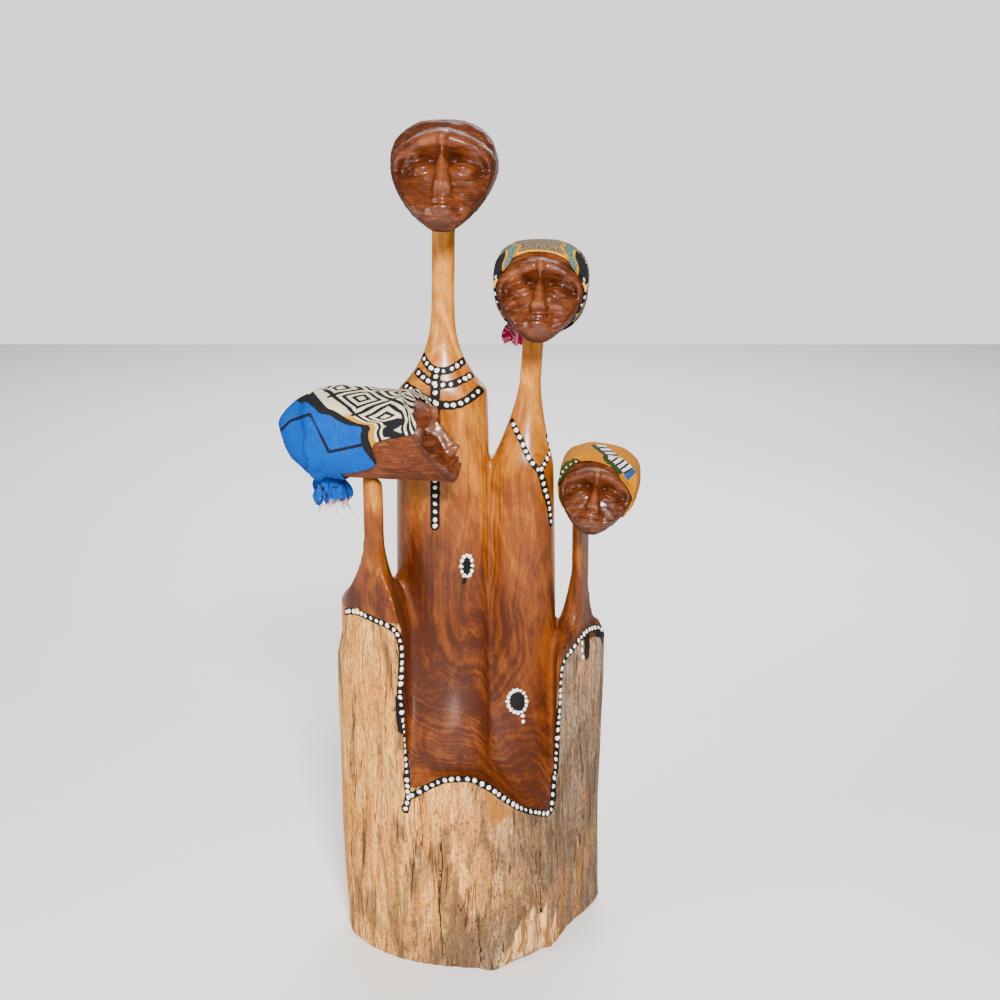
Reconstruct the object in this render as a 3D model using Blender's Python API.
"""A carved family of four that rises from one split log.

Two parents and two children are carved from a single log. Its raw outer surface
stays as the base and as the children's clothes. A recess in the front shows the
parents' smooth bodies. A separate carved head is glued on each long neck, and
three heads wear a tied cotton headscarf. Metres, +Z up, the front looks to -Y.
"""
import math

import bmesh
import bpy
from mathutils import Matrix, Vector

for leftover in list(bpy.data.objects):
    bpy.data.objects.remove(leftover, do_unlink=True)

# The log
LOG_WIDTH = 0.204
LOG_DEPTH = 0.118
LOG_SPARE = 0.03
LOG_TAPER = 0.03
LOG_SIDES = 40
# The outline seen from above, as shares of the width and the depth. The left
# front is the round of the trunk, the right front is a split facet, and the
# back is the flat split through the log.
LOG_OUTLINE = (
    (-0.490, -0.06), (-0.445, -0.20), (-0.320, -0.40), (-0.150, -0.52), (0.040, -0.56),
    (0.150, -0.49), (0.262, -0.32), (0.385, -0.01), (0.490, 0.35), (0.462, 0.45),
    (0.250, 0.43), (0.000, 0.41), (-0.250, 0.39), (-0.440, 0.30), (-0.500, 0.12),
)

# The ledge where the recess runs out, and the back of the raw wood
LEDGE_HIGH = 0.161
LEDGE_LOW = 0.116
LEDGE_TURN_START = 0.0
LEDGE_TURN_END = 0.30
LEDGE_CREST = -0.06
LEDGE_SAG = 1.04
SCOOP_REACH = 0.082
SCOOP_RISE = 0.070
BACK_LEDGE = 0.232
BACK_WAVE = 0.009
LEDGE_COLUMNS = 24
LEDGE_ROWS = 7
# How far the cutting shapes run past the log, and the bodies' hidden feet inside it
CUT_MARGIN = 0.02
FOOT_STEP = 0.003
# How far below the skirt the father's and mother's outlines are still drawn
SKIRT_RUN = 0.018

# A splintered chip at the foot of the right front
CHIP_WIDTH = 0.062
CHIP_HEIGHT = 0.046
CHIP_DEPTH = 0.007
CHIP_PLACE = 0.20
CHIP_OPEN = 0.03
CHIP_BELOW = 0.01

# Necks, heads and cloth
JOINT_GAP = 0.0003
CLOTH_GAP = 0.0004
CLOTH_THICKNESS = 0.0026
CLOTH_FOLD = 0.0009
# Shares along the head where the cloth starts: behind the neck, on the cheek, at the brow
EDGE_NAPE = 0.33
EDGE_CHEEK = 0.21
EDGE_BROW = 0.03
FACE_STEPS = 10
SKULL_RINGS = 7
FACE_LEAN = math.radians(31.0)

# One carved person each. Places are shares of the log's width and depth.
# A reach is how far the body runs from its neck's axis at the shoulder, how
# sharply the shoulder falls away on that side, and how much it widens below.
FATHER = {
    "place": (-0.105, 0.150), "neck_top": 0.566, "neck_radius": 0.0087, "lean": 0.015,
    "shoulder": 0.443, "shoulder_fall": 0.068, "squareness": 2.5,
    "left": (0.0335, 2.8, 0.0065), "right": (0.0335, 2.8, 0.0065),
    "front": (0.023, 2.2, 0.001), "back": (0.024, 2.2, 0.003),
    "skirt_top": 0.275, "skirt_height": 0.122, "skirt_reach": 0.057, "skirt_turn": 0.0, "sides": 22,
}
MOTHER = {
    "place": (0.203, 0.165), "neck_top": 0.487, "neck_radius": 0.0081, "lean": 0.060,
    "shoulder": 0.388, "shoulder_fall": 0.062, "squareness": 2.4,
    "left": (0.0255, 1.5, 0.0075), "right": (0.0212, 1.5, 0.0055),
    "front": (0.023, 1.8, 0.001), "back": (0.023, 1.8, 0.003),
    "skirt_top": 0.250, "skirt_height": 0.150, "skirt_reach": 0.055, "skirt_turn": 0.80, "sides": 20,
}
LEFT_CHILD = {
    "place": (-0.347, -0.280), "neck_top": 0.388, "neck_radius": 0.0084,
    "shoulder": 0.272, "shoulder_fall": 0.068, "squareness": 8.0,
    "left": (0.036, 1.7, 0.0), "right": (0.0205, 1.6, 0.0),
    "front": (0.050, 2.4, 0.0), "back": (0.085, 1.9, 0.0),
    "skirt_top": 0.0, "skirt_height": 0.1, "skirt_reach": 0.0, "skirt_turn": 0.0, "sides": 20,
}
RIGHT_CHILD = {
    "place": (0.425, 0.165), "neck_top": 0.343, "neck_radius": 0.0089,
    "shoulder": 0.238, "shoulder_fall": 0.060, "squareness": 8.0,
    "left": (0.0215, 1.2, 0.0), "right": (0.040, 9.0, 0.0),
    "front": (0.060, 5.5, 0.0), "back": (0.045, 2.8, 0.0),
    "skirt_top": 0.0, "skirt_height": 0.1, "skirt_reach": 0.0, "skirt_turn": 0.0, "sides": 20,
}

# One head each: half width, height, length from chin to back, share of that
# length in front of the neck, shift to its left off the neck, then the turn seen
# from above and the sideways tip in degrees.
FATHER_HEAD = {
    "half_width": 0.0370, "height": 0.0740, "length": 0.1240, "chin_share": 0.52,
    "shift": 0.0013, "turn": 0.0, "tip": 0.0,
}
MOTHER_HEAD = {
    "half_width": 0.0320, "height": 0.0620, "length": 0.1080, "chin_share": 0.52,
    "shift": 0.004, "turn": -3.0, "tip": 2.0,
}
LEFT_CHILD_HEAD = {
    "half_width": 0.0270, "height": 0.0600, "length": 0.1290, "chin_share": 0.492,
    "shift": -0.004, "turn": 77.0, "tip": 0.0,
}
RIGHT_CHILD_HEAD = {
    "half_width": 0.0275, "height": 0.0500, "length": 0.0940, "chin_share": 0.52,
    "shift": 0.008, "turn": -8.0, "tip": 7.0,
}

# Tied ends of the cloths: how far behind the neck, to the side and below the
# head, the size of the bunch, and how far the cloth stands off the crown
MOTHER_CLOTH = {
    "back": 0.030, "side": -0.014, "drop": 0.004, "size": (0.012, 0.010, 0.011), "fullness": 0.0030,
}
LEFT_CHILD_CLOTH = {
    "back": 0.033, "side": 0.000, "drop": 0.009, "size": (0.019, 0.012, 0.014), "fullness": 0.0025,
}
RIGHT_CHILD_CLOTH = {
    "back": 0.027, "side": 0.000, "drop": 0.002, "size": (0.009, 0.009, 0.008), "fullness": 0.0025,
}


def smoothstep(low, high, value):
    share = min(1.0, max(0.0, (value - low) / (high - low)))
    return share * share * (3.0 - 2.0 * share)


def signed_power(value, power):
    return math.copysign(abs(value) ** power, value)


def closed_curve(points, count):
    """A smooth closed curve through a few points, as evenly stepped points."""
    samples = []
    total = len(points)
    for step in range(count):
        place = step * total / count
        index = int(place)
        share = place - index
        before, start, end, after = (points[(index + shift) % total] for shift in (-1, 0, 1, 2))
        spot = []
        for axis in range(2):
            a, b, c, d = before[axis], start[axis], end[axis], after[axis]
            spot.append(0.5 * (2 * b + (c - a) * share + (2 * a - 5 * b + 4 * c - d) * share ** 2
                               + (3 * b - a - 3 * c + d) * share ** 3))
        samples.append(tuple(spot))
    return samples


def log_top():
    """The uncarved log stood a little above the tallest neck."""
    return FATHER["neck_top"] + LOG_SPARE


def log_ring(height, count=LOG_SIDES):
    """The log's outline at one height; the trunk narrows a little upwards."""
    size = 1.0 - LOG_TAPER * height / log_top()
    ring = []
    for across, deep in closed_curve(LOG_OUTLINE, count):
        ring.append(Vector((across * LOG_WIDTH * size, deep * LOG_DEPTH * size, height)))
    return ring


def front_surface(across):
    """How far forward the log's raw front is at one place across it."""
    outline = closed_curve(LOG_OUTLINE, 6 * LOG_SIDES)
    nearest = 0.0
    for start, end in zip(outline, outline[1:] + outline[:1]):
        low, high = sorted((start[0], end[0]))
        if low <= across <= high and high > low:
            share = (across - start[0]) / (end[0] - start[0])
            nearest = min(nearest, start[1] + share * (end[1] - start[1]))
    return nearest * LOG_DEPTH


def mesh_object(name, points, faces):
    mesh = bpy.data.meshes.new(name)
    mesh.from_pydata([tuple(point) for point in points], [], faces)
    shell = bmesh.new()
    shell.from_mesh(mesh)
    bmesh.ops.triangulate(shell, faces=shell.faces)
    bmesh.ops.recalc_face_normals(shell, faces=shell.faces)
    shell.to_mesh(mesh)
    shell.free()
    piece = bpy.data.objects.new(name, mesh)
    bpy.context.collection.objects.link(piece)
    return piece


def loft(name, rings):
    """A closed solid through rings of equal count, with a fan over each end."""
    count = len(rings[0])
    points = [point for ring in rings for point in ring]
    faces = []
    for row in range(len(rings) - 1):
        for step in range(count):
            after = (step + 1) % count
            faces.append((row * count + step, row * count + after,
                          (row + 1) * count + after, (row + 1) * count + step))
    for row, ring in ((0, rings[0]), (len(rings) - 1, rings[-1])):
        middle = sum((Vector(point) for point in ring), Vector()) / count
        points.append(middle)
        for step in range(count):
            faces.append((row * count + step, row * count + (step + 1) % count, len(points) - 1))
    return mesh_object(name, points, faces)


def combine(body, tool, operation):
    """One exact Boolean, kept in the body's own mesh."""
    change = body.modifiers.new(operation, "BOOLEAN")
    change.operation = operation
    change.solver = "EXACT"
    change.object = tool
    bpy.context.view_layer.update()
    graph = bpy.context.evaluated_depsgraph_get()
    result = bpy.data.meshes.new_from_object(body.evaluated_get(graph))
    body.modifiers.clear()
    body.data = result
    bpy.data.objects.remove(tool, do_unlink=True)


def reach(person, side, height):
    """How far a body runs from its axis on one side at one height."""
    widest, fall, growth = person[side]
    above = min(1.0, max(0.0, (height - person["shoulder"]) / person["shoulder_fall"]))
    extent = person["neck_radius"] + (widest - person["neck_radius"]) * (1.0 - above) ** fall
    if height < person["shoulder"]:
        extent += growth * math.sqrt(1.0 - height / person["shoulder"])
    if side == "front":
        skirt = max(0.0, (person["skirt_top"] - height) / person["skirt_height"])
        extent += person["skirt_reach"] * skirt ** 2
    return extent


def axis_place(person, height):
    """The body's axis; a lean moves the neck sideways as it rises."""
    across = person["place"][0] * LOG_WIDTH
    deep = person["place"][1] * LOG_DEPTH
    rise = max(0.0, height - person["shoulder"])
    across += person.get("lean", 0.0) * rise
    return across, deep


def person_ring(person, height, count, top_plane=None):
    across, deep = axis_place(person, height)
    above = min(1.0, max(0.0, (height - person["shoulder"]) / person["shoulder_fall"]))
    power = 2.0 + (person["squareness"] - 2.0) * (1.0 - above) ** 2
    skirt = max(0.0, (person["skirt_top"] - height) / person["skirt_height"])
    if skirt > 0.0:
        power += 1.5 * min(1.0, skirt)
    turn = person["skirt_turn"] * min(1.0, skirt)
    ring = []
    for step in range(count):
        angle = 2.0 * math.pi * (step + 0.5) / count
        wide = signed_power(math.cos(angle), 2.0 / power)
        long = signed_power(math.sin(angle), 2.0 / power)
        wide *= reach(person, "right" if wide > 0 else "left", height)
        long *= reach(person, "back" if long > 0 else "front", height)
        long += turn * wide
        point = Vector((across + wide, deep + long, height))
        if top_plane is not None:
            seat, up = top_plane
            point.z = seat.z - (up.x * (point.x - seat.x) + up.y * (point.y - seat.y) + JOINT_GAP) / up.z
        ring.append(point)
    return ring


def head_frame(person, head):
    """The seat of a head on its neck, and its forward, side and up directions."""
    across, deep = axis_place(person, person["neck_top"])
    seat = Vector((across, deep, person["neck_top"]))
    turn = Matrix.Rotation(math.radians(head["turn"]), 3, "Z")
    tip = Matrix.Rotation(math.radians(head["tip"]), 3, "Y")
    spin = turn @ tip
    return seat, spin @ Vector((0.0, -1.0, 0.0)), spin @ Vector((1.0, 0.0, 0.0)), spin @ Vector((0.0, 0.0, 1.0))


def person_body(name, person, head, bottom):
    heights = [bottom]
    skirt_foot = person["skirt_top"] - person["skirt_height"]
    if person["skirt_reach"] > 0.0:
        for step in range(9):
            heights.append(skirt_foot - SKIRT_RUN + (person["skirt_height"] + SKIRT_RUN) * step / 8)
    start = heights[-1]
    for share in (0.5, 0.95):
        heights.append(start + (person["shoulder"] - start) * share)
    for step in range(9):
        heights.append(person["shoulder"] + person["shoulder_fall"] * (step / 8) ** 1.25)
    seat, _, _, up = head_frame(person, head)
    rings = [person_ring(person, height, person["sides"]) for height in heights]
    rings.append(person_ring(person, person["neck_top"], person["sides"], (seat, up)))
    return loft(name, rings)


def ledge_height(across):
    """The wavy line where the recess runs out in the raw front."""
    share = across / LOG_WIDTH
    fall = smoothstep(LEDGE_TURN_START, LEDGE_TURN_END, share)
    height = LEDGE_HIGH - (LEDGE_HIGH - LEDGE_LOW) * fall
    if share < LEDGE_CREST:
        height -= LEDGE_SAG * LOG_WIDTH * (share - LEDGE_CREST) ** 2
    return height


def ledge_block():
    """Everything below the recess, with a top that scoops up and inwards."""
    floor = -CUT_MARGIN
    columns = LEDGE_COLUMNS
    rows = LEDGE_ROWS
    middle = 0.10 * LOG_DEPTH
    back = 0.5 * LOG_DEPTH + CUT_MARGIN
    front = -0.62 * LOG_DEPTH - CUT_MARGIN
    points = []
    for column in range(columns + 1):
        across = (column / columns - 0.5) * (LOG_WIDTH + 2 * CUT_MARGIN)
        edge = front_surface(max(-0.485, min(0.50, across / LOG_WIDTH)))
        for row in range(rows + 1):
            deep = edge + (middle - edge) * row / rows
            inward = min(0.98, (deep - edge) / SCOOP_REACH)
            rise = SCOOP_RISE * (1.0 - math.sqrt(1.0 - inward ** 2))
            points.append(Vector((across, deep, ledge_height(across) + rise)))
        back_height = BACK_LEDGE + BACK_WAVE * math.sin(3.0 * math.pi * across / LOG_WIDTH)
        points.append(Vector((across, 0.20 * LOG_DEPTH, back_height)))
        points.append(Vector((across, back, back_height)))
        points.append(Vector((across, back, floor)))
        points.append(Vector((across, front, floor)))
        points.append(Vector((across, front, ledge_height(across))))
    around = rows + 6
    rings = [points[column * around:(column + 1) * around] for column in range(columns + 1)]
    return loft("ledge", rings)


def chip_cutter():
    """A shallow wedge that splits off the foot of the right front."""
    across = CHIP_PLACE
    here = Vector((across * LOG_WIDTH, front_surface(across), 0.0))
    beside = Vector(((across + 0.05) * LOG_WIDTH, front_surface(across + 0.05), 0.0))
    along = (beside - here).normalized()
    outward = Vector((along.y, -along.x, 0.0))
    ends = []
    for share, height_share in ((-0.5, 0.75), (0.05, 1.0), (0.5, 0.55)):
        place = here + along * CHIP_WIDTH * share
        profile = []
        top = CHIP_HEIGHT * height_share
        for out, up in ((-CHIP_DEPTH, -CHIP_BELOW), (-CHIP_DEPTH, 0.0), (CHIP_DEPTH, top),
                        (CHIP_OPEN, top), (CHIP_OPEN, -CHIP_BELOW)):
            profile.append(place + outward * out + Vector((0.0, 0.0, up)))
        ends.append(profile)
    return loft("chip", ends)


def carve_log():
    levels = (0.0, 0.1, 0.3, 0.5, 1.0)
    block = loft("family_log", [log_ring(level * log_top()) for level in levels])
    bottom = 0.25 * LEDGE_HIGH
    people = person_body("father", FATHER, FATHER_HEAD, bottom)
    others = ((MOTHER, MOTHER_HEAD), (LEFT_CHILD, LEFT_CHILD_HEAD), (RIGHT_CHILD, RIGHT_CHILD_HEAD))
    for order, (person, head) in enumerate(others):
        foot = bottom - FOOT_STEP * (order + 1)
        combine(people, person_body("person_%d" % order, person, head, foot), "UNION")
    combine(people, ledge_block(), "UNION")
    combine(block, people, "INTERSECT")
    combine(block, chip_cutter(), "DIFFERENCE")
    return block


def face_half_width(height):
    """The mask's outline: a narrow chin, broad at the cheekbones, a flat brow."""
    rise = math.sin(min(1.0, height / 0.62) * 0.5 * math.pi)
    shape = 0.46 + 0.54 * rise ** 1.15
    if height > 0.70:
        shape -= 0.16 * ((height - 0.70) / 0.30) ** 2
    return shape


def bump(value, centre, radius):
    distance = abs(value - centre) / radius
    return max(0.0, 1.0 - distance * distance)


def face_relief(across, height):
    """Carving that stands off the face plane, as a share of the half width."""
    side = abs(across)
    relief = 0.20 * (1.0 - side ** 2.2)
    brow_line = 0.745 - 0.11 * side ** 1.6
    relief += 0.17 * bump(height, brow_line, 0.085) * (1.0 - 0.4 * side)
    socket = bump(side, 0.42, 0.37) * bump(height, 0.585, 0.125)
    relief -= 0.24 * math.sqrt(socket)
    lid = bump(side, 0.43, 0.25) * bump(height, 0.575, 0.085)
    relief += 0.24 * math.sqrt(lid)
    if 0.27 < height < 0.78:
        down = (0.78 - height) / 0.51
        width = 0.085 + 0.10 * down
        relief += (0.08 + 0.24 * down) * max(0.0, 1.0 - (side / width) ** 2) ** 0.6
    relief += 0.16 * bump(side, 0.0, 0.26) * bump(height, 0.185, 0.065)
    relief += 0.07 * bump(side, 0.0, 0.30) * bump(height, 0.06, 0.07)
    return relief


def perimeter(steps):
    """The grid places round the edge of a square face, from the lower left."""
    places = [(column, 0) for column in range(steps)]
    places += [(steps, row) for row in range(steps)]
    places += [(column, steps) for column in range(steps, 0, -1)]
    places += [(0, row) for row in range(steps, 0, -1)]
    return places


def head_profile(head, share, offset):
    """Half width, half height and place along the head of one ring."""
    lean_back = head["height"] * math.tan(FACE_LEAN)
    front = head["length"] * head["chin_share"] - 0.5 * lean_back
    back = -head["length"] * (1.0 - head["chin_share"]) - offset
    bend = 0.34
    if share <= bend:
        along = share / bend
        place = front + (0.30 * back - front) * along
        size = 1.0
    else:
        angle = (share - bend) / (1.0 - bend) * 0.5 * math.pi
        place = 0.30 * back + 0.70 * back * math.sin(angle)
        size = math.cos(angle)
    lean = -math.tan(FACE_LEAN) * (1.0 - smoothstep(0.0, bend, share))
    swell = 1.0 + 0.06 * math.sin(math.pi * min(1.0, share / 0.6))
    half_width = (head["half_width"] * swell + offset) * size
    half_height = (0.5 * head["height"] + offset) * size
    return place, half_width, half_height, lean


def head_point(head, frame, share, place, steps, offset=0.0):
    """A point on the skull: ring share from face to back, and a place round it."""
    seat, forward, side, up = frame
    column, row = place
    flat_across = 2.0 * column / steps - 1.0
    flat_height = row / steps
    angle = math.atan2(2.0 * flat_height - 1.0, flat_across)
    round_across = signed_power(math.cos(angle), 2.0 / 2.5)
    round_height = signed_power(math.sin(angle), 2.0 / 2.5)
    blend = smoothstep(0.0, 0.30, share)
    across = (1.0 - blend) * flat_across * face_half_width(flat_height) + blend * round_across
    height = (1.0 - blend) * (2.0 * flat_height - 1.0) + blend * round_height
    along, half_width, half_height, lean = head_profile(head, share, offset)
    lift = 0.5 * head["height"] + height * half_height
    along += lean * height * half_height
    if offset == 0.0:
        lift = max(lift, 0.0)
    return seat + forward * along + side * (head["shift"] + across * half_width) + up * lift


def carve_head(name, person, head, offset=0.0):
    """A head with its face as a carved grid, then rings that close at the back."""
    frame = head_frame(person, head)
    seat, forward, side, up = frame
    steps = FACE_STEPS
    normal = (forward * math.cos(FACE_LEAN) + up * math.sin(FACE_LEAN)).normalized()
    points = []
    index = {}
    for column in range(steps + 1):
        for row in range(steps + 1):
            on_edge = column in (0, steps) or row in (0, steps)
            spot = head_point(head, frame, 0.0, (column, row), steps, offset)
            if not on_edge:
                across = (2.0 * column / steps - 1.0) * face_half_width(row / steps)
                spot = spot + normal * face_relief(across, row / steps) * head["half_width"]
            index[(column, row)] = len(points)
            points.append(spot)
    faces = []
    for column in range(steps):
        for row in range(steps):
            faces.append((index[(column, row)], index[(column + 1, row)],
                          index[(column + 1, row + 1)], index[(column, row + 1)]))
    ring = [index[place] for place in perimeter(steps)]
    for ring_step in range(1, SKULL_RINGS):
        share = ring_step / SKULL_RINGS
        after = []
        for place in perimeter(steps):
            after.append(len(points))
            points.append(head_point(head, frame, share, place, steps, offset))
        for step in range(len(ring)):
            turn = (step + 1) % len(ring)
            faces.append((ring[step], after[step], after[turn], ring[turn]))
        ring = after
    along = head_profile(head, 1.0, offset)[0]
    points.append(seat + forward * along + side * head["shift"] + up * 0.5 * head["height"])
    for step in range(len(ring)):
        faces.append((ring[step], len(points) - 1, ring[(step + 1) % len(ring)]))
    return mesh_object(name, points, faces)


def cloth_edge(height):
    """The share along the head where the cloth starts, from nape to brow."""
    beside_neck = EDGE_NAPE - (EDGE_NAPE - EDGE_CHEEK) * smoothstep(-0.05, 0.30, height)
    return beside_neck - (EDGE_CHEEK - EDGE_BROW) * smoothstep(0.5, 1.0, height)


def tie_headscarf(name, person, head, cloth):
    """A cloth shell over the crown and back, cut to fit just off the head."""
    frame = head_frame(person, head)
    seat, forward, side, up = frame
    steps = FACE_STEPS
    places = perimeter(steps)[::2]
    offset = CLOTH_GAP + CLOTH_THICKNESS
    rings = []
    for step in range(8):
        ring = []
        for order, place in enumerate(places):
            start = cloth_edge(place[1] / steps)
            share = start + (1.0 - start) * (step / 8)
            fold = CLOTH_FOLD * math.sin(3.0 * order + 2.0 * step) * smoothstep(0.0, 3.0, step)
            stand = cloth["fullness"] * smoothstep(0.35, 1.0, place[1] / steps) * smoothstep(-1.0, 2.0, step)
            ring.append(head_point(head, frame, share, place, steps, offset + fold + stand))
        rings.append(ring)
    shell = loft(name, rings)
    bunch = []
    across, back, deep = cloth["size"]
    for step in range(7):
        angle = math.pi * (step + 0.5) / 7
        ring = []
        for turn in range(10):
            around = 2.0 * math.pi * turn / 10
            ripple = 1.0 + 0.12 * math.cos(3.0 * around)
            spot = seat - forward * cloth["back"] + side * cloth["side"] - up * cloth["drop"]
            spot += forward * across * math.sin(angle) * math.cos(around) * ripple
            spot += side * back * math.sin(angle) * math.sin(around) * ripple
            spot += up * deep * math.cos(angle)
            ring.append(spot)
        bunch.append(ring)
    combine(shell, loft("knot", bunch), "UNION")
    combine(shell, carve_head("room", person, head, CLOTH_GAP), "DIFFERENCE")
    return shell


def finish(piece, name, colour, roughness):
    """Give a piece its material and shade it smooth up to its carved edges."""
    material = bpy.data.materials.new(name)
    material.use_nodes = True
    surface = material.node_tree.nodes["Principled BSDF"]
    surface.inputs["Base Color"].default_value = (*colour, 1.0)
    surface.inputs["Roughness"].default_value = roughness
    surface.inputs["Metallic"].default_value = 0.0
    piece.data.materials.clear()
    piece.data.materials.append(material)
    piece.data.shade_smooth()
    piece.data.set_sharp_from_angle(angle=math.radians(40.0))


def centre_on_ground(pieces):
    """Put the middle of the whole group's box over the origin."""
    points = [vertex.co for piece in pieces for vertex in piece.data.vertices]
    middle = Vector(((min(p.x for p in points) + max(p.x for p in points)) / 2,
                     (min(p.y for p in points) + max(p.y for p in points)) / 2, 0.0))
    for piece in pieces:
        piece.data.transform(Matrix.Translation(-middle))
    return middle


log = carve_log()
finish(log, "log_wood", (0.36, 0.16, 0.06), 0.5)
family = [log]
for name, person, head in (("father_head", FATHER, FATHER_HEAD), ("mother_head", MOTHER, MOTHER_HEAD),
                           ("left_child_head", LEFT_CHILD, LEFT_CHILD_HEAD),
                           ("right_child_head", RIGHT_CHILD, RIGHT_CHILD_HEAD)):
    carved = carve_head(name, person, head)
    finish(carved, name + "_wood", (0.16, 0.045, 0.022), 0.3)
    family.append(carved)
for name, person, head, cloth, colour in (
        ("mother_headscarf", MOTHER, MOTHER_HEAD, MOTHER_CLOTH, (0.10, 0.26, 0.22)),
        ("left_child_headscarf", LEFT_CHILD, LEFT_CHILD_HEAD, LEFT_CHILD_CLOTH, (0.01, 0.13, 0.60)),
        ("right_child_headscarf", RIGHT_CHILD, RIGHT_CHILD_HEAD, RIGHT_CHILD_CLOTH, (0.75, 0.42, 0.03))):
    scarf = tie_headscarf(name, person, head, cloth)
    finish(scarf, name + "_cotton", colour, 0.85)
    family.append(scarf)
middle = centre_on_ground(family)
print("the group's middle was at", round(middle.x, 5), round(middle.y, 5))
for piece in family:
    print(piece.name, len(piece.data.polygons))
